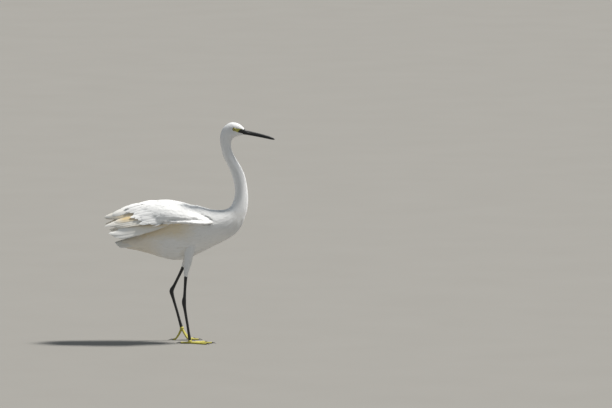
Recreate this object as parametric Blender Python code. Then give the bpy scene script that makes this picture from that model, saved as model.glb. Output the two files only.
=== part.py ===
"""Little egret standing in mid-step, at life size, as a still museum model.

The bird looks along +X with +Z up, so its right side faces -Y. The origin is on the floor, under the
middle of its outline. Head, neck, trunk and tail are lofted as one body and parted by thin plane cuts.
The folded wings lie on the trunk, the horny bill and the eyes sit in the head, and each leg is one
loft from knee to foot that is parted into feathered thigh, bare shank and tarsus.
All tables and sizes are in millimetres, and MM turns them into metres.
"""

import math

import bmesh
import bpy
import numpy as np
from mathutils import Matrix, Vector

MM = 0.001
GAP = 0.3

X_AXIS = Vector((1, 0, 0))
Y_AXIS = Vector((0, 1, 0))
Z_AXIS = Vector((0, 0, 1))
RIGHT, LEFT = -1, 1
SIDES = {"right": RIGHT, "left": LEFT}

# Body sections from the tail's tip to the bill's base.
# Each row is: back x, back z, belly or throat x, belly or throat z, half width.
BODY = (
    (-194.0, 260.0, -193.0, 255.5, 8.0),
    (-178.0, 265.0, -178.0, 250.0, 14.0),
    (-158.0, 270.5, -158.0, 244.5, 18.5),
    (-134.0, 280.5, -134.0, 239.5, 22.0),
    (-102.6, 314.0, -102.6, 231.0, 31.0),
    (-58.4, 350.5, -58.4, 217.5, 41.0),
    (-16.8, 358.5, -16.8, 215.6, 45.0),
    (19.6, 357.8, 19.6, 229.0, 45.0),
    (53.4, 347.5, 53.4, 246.5, 41.0),
    (80.0, 345.2, 85.5, 262.5, 35.5),
    (98.9, 348.6, 110.5, 277.0, 29.5),
    (109.8, 358.5, 131.0, 296.5, 24.0),
    (117.6, 380.5, 149.5, 340.5, 18.0),
    (118.3, 403.0, 152.6, 384.5, 14.2),
    (112.6, 430.0, 145.6, 430.5, 12.2),
    (103.2, 455.0, 134.4, 458.5, 11.0),
    (89.2, 483.5, 115.4, 489.0, 10.2),
    (82.6, 507.5, 107.8, 511.0, 10.0),
    (79.2, 531.0, 111.5, 530.5, 11.2),
    (83.0, 551.0, 122.0, 537.0, 12.6),
    (92.5, 565.5, 131.5, 539.5, 13.2),
    (108.0, 574.4, 137.0, 540.8, 13.0),
    (126.0, 571.8, 141.5, 541.6, 11.0),
    (138.5, 563.6, 145.5, 542.2, 8.4),
    (147.0, 556.6, 149.6, 542.8, 5.8),
)
BODY_SIDES = 24
BODY_STEPS = 2
BODY_EGG = 0.14

# Thin cuts across the body: the name of what lies before each cut, a point on it and its normal.
BODY_CUTS = (
    ("tail", (-136.0, 270.0), (1.0, 0.0)),
    ("trunk", (109.3, 356.9), (0.871, 0.491)),
    ("neck_lower", (116.6, 414.4), (0.196, 0.981)),
    ("neck_middle", (92.7, 475.6), (-0.187, 0.982)),
    ("neck_upper", (95.0, 531.0), (0.064, 0.998)),
    ("head", None, None),
)

# Folded arm wings and their coverts, both sides in one loft. Each row is: x, top z, bottom z, half width.
ARM = (
    (61.2, 321.5, 317.0, 44.0),
    (57.5, 329.5, 312.0, 50.5),
    (43.0, 339.5, 309.3, 55.0),
    (22.2, 348.5, 310.0, 57.0),
    (-3.8, 361.5, 311.6, 58.0),
    (-29.8, 368.0, 312.2, 57.5),
    (-58.4, 372.0, 311.0, 54.0),
    (-89.6, 370.0, 308.5, 47.0),
    (-120.8, 363.6, 306.0, 37.5),
    (-146.0, 354.0, 304.0, 28.0),
)
ARM_SIDES = 28
ARM_STEPS = 2
ARM_POWER = 1.8
ARM_LOW_POWER = 2.4
ARM_LOW_SHARE = 0.16
ARM_END_POINT = (-61.0, 308.5)
ARM_END_NORMAL = (0.603, 0.798)

# Flight feathers of the right wing, from root to tip.
# Each row is: x, y, z, half height, half thickness, lean of the top edge towards the middle in degrees.
VANES = {
    "tertials": (
        (-70.0, -20.2, 357.0, 21.0, 2.6, 56.0),
        (-102.6, -20.2, 354.0, 22.0, 2.4, 52.0),
        (-139.0, -16.4, 345.2, 18.6, 2.0, 47.0),
        (-180.6, -11.4, 334.8, 14.0, 1.6, 38.0),
        (-206.6, -6.6, 328.6, 7.4, 1.2, 30.0),
        (-221.9, -3.6, 326.6, 1.6, 0.8, 25.0),
    ),
    "secondaries": (
        (-60.0, -45.5, 330.0, 11.6, 2.4, 34.0),
        (-90.0, -42.5, 327.5, 13.2, 2.2, 40.0),
        (-128.6, -37.5, 322.8, 12.8, 1.9, 42.0),
        (-167.6, -31.5, 316.4, 10.6, 1.5, 40.0),
        (-201.4, -26.0, 309.8, 7.0, 1.2, 35.0),
        (-220.5, -23.5, 304.6, 2.0, 0.8, 32.0),
    ),
    "primaries": (
        (-52.0, -52.0, 313.0, 3.4, 2.0, 12.0),
        (-70.0, -51.0, 310.6, 6.2, 2.0, 18.0),
        (-97.4, -49.5, 305.6, 10.0, 1.9, 28.0),
        (-133.8, -46.0, 297.2, 12.4, 1.8, 32.0),
        (-170.2, -41.0, 289.6, 13.0, 1.5, 32.0),
        (-196.2, -37.0, 287.4, 11.4, 1.2, 30.0),
        (-210.5, -35.0, 287.6, 6.2, 0.9, 28.0),
    ),
}
VANE_SIDES = 10
VANE_STEPS = 2
VANE_POWER = 2.6

# Bill along its axis. Each row is: x, z, half height, half width.
BILL = (
    (128.5, 550.2, 5.6, 5.6),
    (138.0, 549.4, 6.4, 5.8),
    (152.0, 546.9, 5.8, 5.0),
    (174.0, 542.3, 5.2, 4.1),
    (197.0, 537.0, 4.6, 3.4),
    (210.0, 533.6, 3.9, 2.7),
    (217.0, 531.5, 2.8, 1.9),
    (220.9, 530.2, 1.3, 0.9),
    (221.9, 529.8, 0.6, 0.5),
)
BILL_SIDES = 16
BILL_STEPS = 2
GAPE_POINT = (138.0, 548.0)
GAPE_NORMAL = (0.212, 0.977)

EYE_RADIUS = 5.2
EYE_PLACE = (117.1, 9.2, 557.4)

# Legs from the knee, inside the belly, to the joint of the toes.
# Each row is: x, y, z, half depth fore and aft, half width.
LEG_STEPS = 2
LEG_SIDES = 12
LEGS = {
    "right": (
        (3.0, -27.0, 256.0, 15.0, 10.0),
        (-1.5, -29.0, 230.0, 12.2, 9.6),
        (-4.6, -31.0, 208.0, 10.0, 8.4),
        (-8.0, -32.6, 190.0, 7.0, 6.4),
        (-9.6, -33.6, 172.0, 4.4, 4.3),
        (-10.4, -34.0, 160.0, 3.9, 3.6),
        (-12.6, -34.6, 124.0, 4.1, 3.7),
        (-13.9, -35.0, 107.0, 5.6, 4.8),
        (-12.2, -35.3, 92.0, 4.2, 3.6),
        (-5.0, -36.1, 48.0, 3.5, 2.9),
        (0.6, -36.9, 10.0, 3.9, 3.4),
        (1.1, -37.0, 4.0, 3.9, 3.4),
    ),
    "left": (
        (9.0, 27.0, 256.0, 15.0, 10.0),
        (-0.5, 29.0, 234.0, 12.0, 9.4),
        (-9.4, 31.0, 214.0, 8.2, 7.4),
        (-14.6, 32.4, 200.0, 5.6, 5.4),
        (-18.6, 33.0, 189.5, 4.3, 4.1),
        (-23.4, 33.4, 179.0, 3.9, 3.6),
        (-40.5, 34.6, 144.0, 4.2, 3.7),
        (-47.3, 35.0, 129.6, 5.6, 4.8),
        (-44.2, 35.3, 115.0, 4.2, 3.6),
        (-33.4, 36.8, 76.0, 3.5, 2.9),
        (-22.6, 38.8, 36.0, 3.9, 3.4),
        (-21.0, 39.1, 30.0, 3.9, 3.4),
    ),
}
# Cuts across each leg: above it lie thigh, shank and tarsus in turn. Each is a point and a normal that looks down.
LEG_CUTS = {
    "right": (((-9.7, 170.5), (-0.06, -1.0)), ((-13.9, 107.0), (0.05, -1.0))),
    "left": (((-19.1, 188.3), (-0.43, -0.9)), ((-47.3, 129.6), (-0.07, -1.0))),
}

# Each foot has the joint of its toes here. The right foot is flat, and the left one is up on its toes.
TOE_JOINT = {"right": (1.1, -37.0, 5.0), "left": (-21.2, 39.0, 31.0)}
JOINT_RADII = (5.6, 5.4, 5.8)
# Toes: length without the claw, base radius, tip radius and claw length.
TOES = {
    "inner": (46.0, 3.0, 2.2, 9.0),
    "middle": (58.0, 3.1, 2.3, 10.0),
    "outer": (50.0, 3.0, 2.2, 9.0),
    "hind": (25.0, 3.0, 2.3, 12.0),
}
# Headings in degrees, where 0 looks forwards and a positive heading turns towards the bird's middle.
HEADINGS = {
    "right": {"inner": 33.0, "middle": 1.0, "outer": -29.0, "hind": 171.0},
    "left": {"inner": 33.0, "middle": 1.0, "outer": -35.5, "hind": 171.0},
}
TOE_SIDES = 8
TOE_POINTS = 8
TOE_REST_Z = 2.1
STEEP_RUN = 25.0
HIND_STEEP_RUN = 19.0
CLAW_DROOP = 1.3
CLAW_SIDES = 8
CLAW_POINTS = 5

FEATHER_WHITE = (0.86, 0.85, 0.81)
HORN_BLACK = (0.02, 0.02, 0.022)
SKIN_BLACK = (0.03, 0.03, 0.03)
FOOT_YELLOW = (0.62, 0.55, 0.10)
EYE_YELLOW = (0.75, 0.66, 0.18)


def empty_scene():
    for old in list(bpy.data.objects):
        bpy.data.objects.remove(old, do_unlink=True)
    shown = bpy.data.collections.new("little_egret")
    helpers = bpy.data.collections.new("cutters")
    bpy.context.scene.collection.children.link(shown)
    bpy.context.scene.collection.children.link(helpers)
    return shown, helpers


def make_material(name, colour, roughness):
    material = bpy.data.materials.new(name)
    material.use_nodes = True
    shader = material.node_tree.nodes["Principled BSDF"]
    shader.inputs["Base Color"].default_value = (*colour, 1.0)
    shader.inputs["Roughness"].default_value = roughness
    shader.inputs["Metallic"].default_value = 0.0
    return material


def in_between(rows, steps):
    """The rows with steps - 1 more between each pair, on a smooth curve through all of them."""
    table = np.array(rows, float)
    padded = np.vstack((2 * table[0] - table[1], table, 2 * table[-1] - table[-2]))
    dense = []
    for before, start, end, after in zip(padded, padded[1:], padded[2:], padded[3:]):
        for step in range(steps):
            t = step / steps
            dense.append(
                0.5
                * (
                    2 * start
                    + (end - before) * t
                    + (2 * before - 5 * start + 4 * end - after) * t**2
                    + (3 * start - before - 3 * end + after) * t**3
                )
            )
    dense.append(table[-1])
    return dense


def section(centre, up, side, sides, power=2.0, egg=0.0, low_power=None, low_share=0.5):
    """A closed ring round centre. up and side reach its edge, and egg moves its widest place along up.

    The half below centre may have a power of its own, and a share of the whole height.
    """
    low = low_share / (1 - low_share)
    ring = []
    for corner in range(sides):
        angle = 2 * math.pi * corner / sides
        across, along = math.cos(angle), math.sin(angle)
        bend = 2 / (low_power if low_power and along < 0 else power)
        across = math.copysign(abs(across) ** bend, across)
        along = math.copysign(abs(along) ** bend, along)
        along *= low if along < 0 else 1
        ring.append(centre + up * along + side * across * (1 + egg * along))
    return ring


def loft(rings):
    """A closed mesh through the rings, in metres, with its ends filled."""
    shape = bmesh.new()
    loops = [[shape.verts.new(place * MM) for place in ring] for ring in rings]
    for first, second in zip(loops, loops[1:]):
        for here, there in zip(range(len(first)), list(range(1, len(first))) + [0]):
            shape.faces.new((first[here], first[there], second[there], second[here]))
    shape.faces.new(loops[0])
    shape.faces.new(loops[-1])
    bmesh.ops.recalc_face_normals(shape, faces=shape.faces)
    return shape


def tube(rows, reference, sides, power=2.0):
    """A loft along a path. Each row is a place and two half widths: across reference and path, then over both."""
    places = [Vector(row[:3]) for row in rows]
    rings = []
    for index, row in enumerate(rows):
        before = places[max(index - 1, 0)]
        after = places[min(index + 1, len(places) - 1)]
        along = (after - before).normalized()
        across = reference.cross(along).normalized()
        over = along.cross(across)
        rings.append(section(places[index], over * row[4], across * row[3], sides, power))
    return loft(rings)


def cut_off(shape, point, normal):
    """Removes what lies on the side of the plane that normal points to, and closes the cut."""
    geometry = shape.verts[:] + shape.edges[:] + shape.faces[:]
    bmesh.ops.bisect_plane(
        shape, geom=geometry, plane_co=Vector(point) * MM, plane_no=normal, clear_outer=True
    )
    rim = [edge for edge in shape.edges if edge.is_boundary]
    bmesh.ops.holes_fill(shape, edges=rim, sides=0)
    bmesh.ops.recalc_face_normals(shape, faces=shape.faces)
    return shape


def in_side_plane(pair):
    return Vector((pair[0], 0.0, pair[1]))


def add_object(name, shape, collection, material=None):
    mesh = bpy.data.meshes.new(name)
    shape.to_mesh(mesh)
    shape.free()
    mesh.shade_smooth()
    mesh.set_sharp_from_angle(angle=math.radians(50))
    if material:
        mesh.materials.append(material)
    made = bpy.data.objects.new(name, mesh)
    collection.objects.link(made)
    return made


def add_cutter(name, shape, grow=GAP):
    """A hidden copy of a shape, grown by the gap that neighbours keep."""
    room = shape.copy()
    room.normal_update()
    for corner in room.verts:
        corner.co += corner.normal * grow * MM
    cutter = add_object(name, room, HELPERS)
    cutter.hide_render = True
    cutter.display_type = "WIRE"
    return cutter


def subtract(obj, *cutters):
    for cutter in cutters:
        cut = obj.modifiers.new("clear_of_" + cutter.name, "BOOLEAN")
        cut.operation = "DIFFERENCE"
        cut.object = cutter


def ball(place, radii, rings=8, segments=12):
    shape = bmesh.new()
    bmesh.ops.create_uvsphere(shape, u_segments=segments, v_segments=rings, radius=1.0)
    matrix = Matrix.Translation(Vector(place) * MM) @ Matrix.Diagonal((*radii, 1.0 / MM)) * MM
    matrix[3][3] = 1.0
    bmesh.ops.transform(shape, matrix=matrix, verts=shape.verts)
    return shape


def body_loft():
    rings = []
    for back_x, back_z, front_x, front_z, half_width in in_between(BODY, BODY_STEPS):
        back, front = Vector((back_x, 0, back_z)), Vector((front_x, 0, front_z))
        up = (back - front) / 2
        rings.append(
            section((back + front) / 2, up, Y_AXIS * half_width, BODY_SIDES, egg=BODY_EGG)
        )
    return loft(rings)


def build_body():
    """Head, neck lengths, trunk and tail, all parted from one loft."""
    whole = body_loft()
    pieces = {}
    start = None
    for name, point, normal in BODY_CUTS:
        shape = whole.copy()
        if start:
            place, across = start
            cut_off(shape, place + across * GAP / 2, -across)
        if point:
            place, across = in_side_plane(point), in_side_plane(normal).normalized()
            cut_off(shape, place - across * GAP / 2, across)
            start = (place, across)
        pieces[name] = add_object(name, shape, SHOWN, FEATHERS)
    return whole, pieces


def build_bill(head):
    whole = tube(
        [(x, 0.0, z, high, wide) for x, z, high, wide in in_between(BILL, BILL_STEPS)],
        Y_AXIS,
        BILL_SIDES,
    )
    subtract(head, add_cutter("bill_room", whole))
    gape, up = in_side_plane(GAPE_POINT), in_side_plane(GAPE_NORMAL).normalized()
    for name, side in (("bill_upper", -1), ("bill_lower", 1)):
        half = cut_off(whole.copy(), gape - up * side * GAP / 2, up * side)
        add_object(name, half, SHOWN, HORN)


def build_eyes(head):
    for side_name, side in SIDES.items():
        x, y, z = EYE_PLACE
        eye = ball((x, y * side, z), (EYE_RADIUS,) * 3, rings=10, segments=14)
        subtract(head, add_cutter("socket_" + side_name, eye))
        add_object("eye_" + side_name, eye, SHOWN, EYE)


def build_wing_arms(body_room):
    """The coverts over each folded arm, as a pad that follows the trunk and ends in a slanting edge."""
    rings = []
    for x, top, bottom, half_width in in_between(ARM, ARM_STEPS):
        centre = Vector((x, 0, bottom + (top - bottom) * ARM_LOW_SHARE))
        up = Z_AXIS * (top - bottom) * (1 - ARM_LOW_SHARE)
        side = Y_AXIS * half_width
        rings.append(
            section(
                centre,
                up,
                side,
                ARM_SIDES,
                ARM_POWER,
                low_power=ARM_LOW_POWER,
                low_share=ARM_LOW_SHARE,
            )
        )
    whole = loft(rings)
    end = in_side_plane(ARM_END_POINT)
    back = -in_side_plane(ARM_END_NORMAL)
    cut_off(whole, end - back * GAP / 2, back)
    for side_name, side in SIDES.items():
        half = cut_off(whole.copy(), Y_AXIS * side * GAP / 2, Y_AXIS * -side)
        arm = add_object("wing_" + side_name + "_coverts", half, SHOWN, FEATHERS)
        subtract(arm, body_room)


def build_vanes(body_room):
    """Three groups of long feathers behind each arm, one above the other."""
    end = in_side_plane(ARM_END_POINT)
    ahead = in_side_plane(ARM_END_NORMAL)
    for side_name, side in SIDES.items():
        for group, table in VANES.items():
            rings = []
            for x, y, z, high, thick, lean in in_between(table, VANE_STEPS):
                turn = math.radians(lean)
                up = Vector((0, -side * math.sin(turn), math.cos(turn))) * high
                out = Vector((0, side * math.cos(turn), math.sin(turn))) * thick
                centre = Vector((x, -side * y, z))
                rings.append(section(centre, up, out, VANE_SIDES, VANE_POWER))
            shape = cut_off(loft(rings), end - ahead * GAP / 2, ahead)
            name = "wing_" + side_name + "_" + group
            subtract(add_object(name, shape, SHOWN, FEATHERS), body_room)


def leg_shape(side_name):
    return tube(in_between(LEGS[side_name], LEG_STEPS), Y_AXIS, LEG_SIDES)


def build_leg(side_name, body_room, joint_room):
    """One leg, parted at the end of its feathers and at the ankle."""
    whole = leg_shape(side_name)
    start = None
    cuts = (*LEG_CUTS[side_name], (None, None))
    for name, material, (point, normal) in zip(
        ("thigh", "shank", "tarsus"), (FEATHERS, LEG_SKIN, LEG_SKIN), cuts
    ):
        shape = whole.copy()
        if start:
            place, down = start
            cut_off(shape, place + down * GAP / 2, -down)
        if point:
            place, down = in_side_plane(point), in_side_plane(normal).normalized()
            cut_off(shape, place - down * GAP / 2, down)
            start = (place, down)
        made = add_object(name + "_" + side_name, shape, SHOWN, material)
        if name == "thigh":
            subtract(made, body_room)
        if name == "tarsus":
            subtract(made, joint_room)


def toe_rows(side_name, toe):
    """The toe's path, which drops from a raised joint on a curve and then lies on the floor, and its claw's path."""
    length, base, tip, claw = TOES[toe]
    side = SIDES[side_name]
    turn = math.radians(HEADINGS[side_name][toe])
    ahead = Vector((math.cos(turn), -side * math.sin(turn), 0))
    joint = Vector(TOE_JOINT[side_name])
    drop = max(joint.z - TOE_REST_Z, 0)
    raised = drop > JOINT_RADII[2]
    steep_run = (HIND_STEEP_RUN if toe == "hind" else STEEP_RUN) if raised else base
    run = length - (math.hypot(drop, steep_run) - steep_run if raised else 0)
    run = max(run, steep_run + 2 * tip)

    def at(distance):
        share = min(distance / steep_run, 1.0)
        height = TOE_REST_Z + drop * (1 - share) ** (1.5 if raised else 1.0)
        return joint * 1 + ahead * distance + Z_AXIS * (height - joint.z)

    toe_path = []
    for index in range(TOE_POINTS):
        share = index / (TOE_POINTS - 1)
        radius = base + (tip - base) * share
        toe_path.append((*at(run * share), radius, radius))
    claw_path = []
    for index in range(CLAW_POINTS):
        share = index / (CLAW_POINTS - 1)
        place = at(run + GAP + claw * share)
        place.z += CLAW_DROOP * (math.sin(math.pi * share) * 0.5 - share)
        radius = tip * (1 - share) * 0.8 + 0.45
        claw_path.append((*place, radius * 0.8, radius))
    return toe_path, claw_path


def build_foot(side_name):
    """The ball of the foot, four toes and their claws, with flat soles at floor level."""
    floor = (Vector((0, 0, 0)), -Z_AXIS)
    joint = cut_off(ball(TOE_JOINT[side_name], JOINT_RADII), *floor)
    joint_room = add_cutter("joint_room_" + side_name, joint)
    add_object("foot_" + side_name, joint, SHOWN, FOOT_SKIN)
    rooms = [joint_room]
    for toe in ("middle", "inner", "outer", "hind"):
        toe_path, claw_path = toe_rows(side_name, toe)
        shape = cut_off(tube(toe_path, Z_AXIS, TOE_SIDES), *floor)
        claw = cut_off(tube(claw_path, Z_AXIS, CLAW_SIDES), *floor)
        name = "toe_" + side_name + "_" + toe
        room = add_cutter("room_of_" + name, shape)
        subtract(add_object(name, shape, SHOWN, FOOT_SKIN), *rooms)
        rooms.append(room)
        add_object("claw_" + side_name + "_" + toe, claw, SHOWN, HORN)
    return joint_room


SHOWN, HELPERS = empty_scene()
FEATHERS = make_material("white_feathers", FEATHER_WHITE, 0.75)
HORN = make_material("black_horn", HORN_BLACK, 0.35)
LEG_SKIN = make_material("black_leg_skin", SKIN_BLACK, 0.55)
FOOT_SKIN = make_material("yellow_foot_skin", FOOT_YELLOW, 0.6)
EYE = make_material("eye", EYE_YELLOW, 0.08)

body, body_pieces = build_body()
room_for_body = add_cutter("body_room", body)
build_bill(body_pieces["head"])
build_eyes(body_pieces["head"])
build_wing_arms(room_for_body)
build_vanes(room_for_body)
for leg_side in SIDES:
    build_leg(leg_side, room_for_body, build_foot(leg_side))
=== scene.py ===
"""Looks of a still, life-size model of a little egret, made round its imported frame.

One skin lies inside the solids of flesh by a share of the coat's depth, with legs, toes, lores and lids.
Feathers are thin closed vanes whose roots are spread over the form of the body and whose lines follow
the lie of the coat. The long feathers of wings and tail, the bill, the eyes and the claws are separate.
Tables are in millimetres, and MM turns them into metres. The bird looks along +X.
"""

import math

import bmesh
import bpy
import numpy as np
from mathutils import Matrix, Vector
from mathutils.bvhtree import BVHTree
from mathutils.kdtree import KDTree


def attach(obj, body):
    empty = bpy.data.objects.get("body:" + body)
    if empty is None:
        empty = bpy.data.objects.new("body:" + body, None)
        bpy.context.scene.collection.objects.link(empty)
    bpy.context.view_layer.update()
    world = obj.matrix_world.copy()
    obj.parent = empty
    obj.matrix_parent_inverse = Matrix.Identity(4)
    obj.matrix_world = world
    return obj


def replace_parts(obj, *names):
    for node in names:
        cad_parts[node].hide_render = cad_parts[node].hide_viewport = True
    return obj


MM = 0.001
RIGHT, LEFT = -1, 1
SIDES = {"right": RIGHT, "left": LEFT}
SIDEWAYS, UPWARD = np.array((0, 1.0, 0)), np.array((0, 0, 1.0))
CHANCE = np.random.default_rng(7115)

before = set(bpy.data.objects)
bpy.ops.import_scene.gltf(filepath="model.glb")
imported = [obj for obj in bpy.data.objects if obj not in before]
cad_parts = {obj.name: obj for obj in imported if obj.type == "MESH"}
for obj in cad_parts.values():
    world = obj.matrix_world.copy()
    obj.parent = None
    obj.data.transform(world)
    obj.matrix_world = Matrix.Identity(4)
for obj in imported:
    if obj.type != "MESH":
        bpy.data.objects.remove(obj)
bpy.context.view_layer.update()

FLESH = ("head", "neck_upper", "neck_middle", "neck_lower", "trunk", "tail", "thigh_right", "thigh_left")
ARMS = ("wing_right_coverts", "wing_left_coverts")

# Stations from the tail's tip to the bill: back x and z, throat or belly x and z, then the
# feathers' length, half width and depth at the back, and their length and half width at the throat or belly.
LIE = (
    (-194.0, 260.0, -193.0, 255.5, 9.0, 2.4, 0.72, 9.0, 2.4),
    (-178.0, 265.0, -178.0, 250.0, 13.0, 2.8, 0.96, 14.0, 2.8),
    (-158.0, 270.5, -158.0, 244.5, 22.0, 3.2, 1.32, 24.0, 3.2),
    (-134.0, 280.5, -134.0, 239.5, 34.0, 3.6, 1.56, 34.0, 3.4),
    (-102.6, 314.0, -102.6, 231.0, 32.0, 3.4, 1.68, 31.0, 3.2),
    (-58.4, 350.5, -58.4, 217.5, 30.0, 3.2, 1.68, 28.0, 3.0),
    (-16.8, 358.5, -16.8, 215.6, 28.0, 3.0, 1.68, 26.0, 2.8),
    (19.6, 357.8, 19.6, 229.0, 25.0, 2.6, 1.56, 25.0, 2.4),
    (53.4, 347.5, 53.4, 246.5, 22.0, 1.9, 1.44, 24.0, 1.9),
    (80.0, 345.2, 85.5, 262.5, 18.0, 1.4, 1.32, 22.0, 1.5),
    (98.9, 348.6, 110.5, 277.0, 16.0, 1.1, 1.2, 21.0, 1.3),
    (109.8, 358.5, 131.0, 296.5, 14.0, 0.95, 1.08, 19.0, 1.1),
    (117.6, 380.5, 149.5, 340.5, 13.0, 0.85, 1.02, 17.0, 0.95),
    (118.3, 403.0, 152.6, 384.5, 12.0, 0.8, 0.96, 14.0, 0.85),
    (112.6, 430.0, 145.6, 430.5, 11.0, 0.75, 0.9, 12.0, 0.8),
    (103.2, 455.0, 134.4, 458.5, 10.5, 0.7, 0.84, 11.0, 0.75),
    (89.2, 483.5, 115.4, 489.0, 9.5, 0.7, 0.78, 10.0, 0.7),
    (82.6, 507.5, 107.8, 511.0, 9.0, 0.65, 0.72, 9.0, 0.65),
    (79.2, 531.0, 111.5, 530.5, 8.5, 0.6, 0.66, 7.5, 0.6),
    (83.0, 551.0, 122.0, 537.0, 8.0, 0.58, 0.6, 6.5, 0.55),
    (92.5, 565.5, 131.5, 539.5, 7.5, 0.56, 0.57, 5.5, 0.5),
    (108.0, 574.4, 137.0, 540.8, 6.5, 0.54, 0.54, 5.0, 0.5),
    (126.0, 571.8, 141.5, 541.6, 5.5, 0.5, 0.51, 4.5, 0.45),
    (138.5, 563.6, 145.5, 542.2, 4.5, 0.45, 0.45, 4.0, 0.42),
    (147.0, 556.6, 149.6, 542.8, 3.6, 0.4, 0.42, 3.6, 0.4),
)
# Folded arm: x, top z, bottom z, then the feathers' length, half width and depth.
ARM_LIE = (
    (61.2, 321.5, 317.0, 8.0, 1.5, 0.72),
    (57.5, 329.5, 312.0, 9.0, 1.6, 0.78),
    (43.0, 339.5, 309.3, 11.0, 2.0, 0.96),
    (22.2, 348.5, 310.0, 14.0, 2.5, 1.14),
    (-3.8, 361.5, 311.6, 18.0, 3.1, 1.32),
    (-29.8, 368.0, 312.2, 22.0, 3.7, 1.44),
    (-58.4, 372.0, 311.0, 27.0, 4.4, 1.44),
    (-89.6, 370.0, 308.5, 32.0, 5.0, 1.44),
    (-120.8, 363.6, 306.0, 36.0, 5.4, 1.44),
    (-146.0, 354.0, 304.0, 36.0, 5.4, 1.44),
)
# Feathered thighs: x, y, z at the knee and at the end of the feathers.
THIGHS = {
    "right": ((3.0, -27.0, 256.0), (-9.6, -33.6, 168.0)),
    "left": ((9.0, 27.0, 256.0), (-20.0, 33.2, 186.0)),
}
THIGH_FEATHER = (13.0, 1.0, 1.0)


def dense(rows, steps):
    """The rows with steps - 1 more between each pair, on a smooth curve through all of them."""
    table = np.array(rows, float)
    padded = np.vstack((2 * table[0] - table[1], table, 2 * table[-1] - table[-2]))
    made = []
    for before, start, end, after in zip(padded, padded[1:], padded[2:], padded[3:]):
        for step in range(steps):
            t = step / steps
            bend = (2 * before - 5 * start + 4 * end - after) * t**2
            twist = (3 * start - before - 3 * end + after) * t**3
            made.append(0.5 * (2 * start + (end - before) * t + bend + twist))
    made.append(table[-1])
    return np.array(made)


def unit(vectors):
    return vectors / np.maximum(np.linalg.norm(vectors, axis=-1, keepdims=True), 1e-12)


def between(values, start, end):
    """0 at start and before it, 1 at end and after it. end may be the smaller."""
    return np.clip((values - start) / (end - start), 0, 1)


def bump_at(values, middle, width):
    return np.exp(-(((values - middle) / width) ** 2))


def finished(name, shape, *materials, body="root"):
    """A piece of the object from a bmesh, which rides on its body."""
    mesh = bpy.data.meshes.new(name)
    shape.to_mesh(mesh)
    shape.free()
    return placed(name, mesh, *materials, body=body)


def placed(name, mesh, *materials, body="root"):
    mesh.shade_smooth()
    mesh.set_sharp_from_angle(angle=math.radians(55))
    for material in materials:
        mesh.materials.append(material)
    piece = bpy.data.objects.new(name, mesh)
    bpy.context.scene.collection.objects.link(piece)
    if body:
        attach(piece, body)
    return piece


class Value:
    """A socket of a material. Python's operators on it add Math nodes."""

    def __init__(self, recipe, socket):
        self.recipe, self.socket = recipe, socket

    def math(self, operation, *values):
        return self.recipe.node("Math", {"operation": operation}, *values)

    def __add__(self, other):
        return self.math("ADD", self, other)

    __radd__ = __add__

    def __sub__(self, other):
        return self.math("SUBTRACT", self, other)

    def __rsub__(self, other):
        return self.math("SUBTRACT", other, self)

    def __mul__(self, other):
        return self.math("MULTIPLY", self, other)

    __rmul__ = __mul__

    def __pow__(self, other):
        return self.math("POWER", self, other)

    def absolute(self):
        return self.math("ABSOLUTE", self)

    def sine(self):
        return self.math("SINE", self)

    def ramp(self, low, high):
        """0 below low and 1 above high, with a smooth change between. low may be the greater."""
        first, last = (1.0, 0.0) if low > high else (0.0, 1.0)
        settings = {"interpolation_type": "SMOOTHSTEP"}
        return self.recipe.node("MapRange", settings, self, min(low, high), max(low, high), first, last)


class Recipe:
    """A material that is made step by step. Its values feed the Principled shader's sockets."""

    def __init__(self, name, **constants):
        self.material = bpy.data.materials.new(name)
        self.material.use_nodes = True
        self.tree = self.material.node_tree
        self.shader = self.tree.nodes["Principled BSDF"]
        for socket, value in constants.items():
            self.shader.inputs[socket.replace("_", " ")].default_value = value

    def node(self, kind, settings, *values, output=0, **named):
        made = self.tree.nodes.new("ShaderNode" + kind)
        for key, value in settings.items():
            setattr(made, key, value)
        for socket, value in [*enumerate(values), *named.items()]:
            if isinstance(socket, str):
                socket = socket.replace("_", " ")
            self.feed(made.inputs[socket], value)
        return Value(self, made.outputs[output])

    def feed(self, socket, value):
        if isinstance(value, Value):
            self.tree.links.new(value.socket, socket)
        elif value is not None:
            socket.default_value = value

    def parts(self, vector):
        """The three numbers of a vector."""
        split = self.node("SeparateXYZ", {}, vector)
        return tuple(Value(self, socket) for socket in split.socket.node.outputs)

    def place(self):
        """Object coordinates, in millimetres."""
        where = self.node("TexCoord", {}, output=3)
        return self.node("VectorMath", {"operation": "SCALE"}, where, Scale=1000.0)

    def lay(self):
        """A feather's own coordinates: millimetres along and across it, and its chance number."""
        return self.node("Attribute", {"attribute_name": "lay"}, output=1)

    def vector(self, x, y, z):
        return self.node("CombineXYZ", {}, x, y, z)

    def noise(self, vector, scale, detail, roughness=0.5):
        return self.node("TexNoise", {}, Vector=vector, Scale=scale, Detail=detail, Roughness=roughness)

    def mix(self, share, first, second):
        """Colours blended by a number from 0 to 1."""
        node = self.node("Mix", {"data_type": "RGBA"}, share, output=2)
        inputs = node.socket.node.inputs
        for socket, value in ((inputs[6], first), (inputs[7], second)):
            self.feed(socket, value if isinstance(value, Value) else (*value, 1.0))
        return node

    def bump(self, height, distance, strength):
        node = self.node("Bump", {}, Strength=strength, Distance=distance, Height=height)
        self.feed(self.shader.inputs["Normal"], node)

    def colour(self, value):
        self.feed(self.shader.inputs["Base Color"], value)

    def roughness(self, value):
        self.feed(self.shader.inputs["Roughness"], value)


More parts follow.
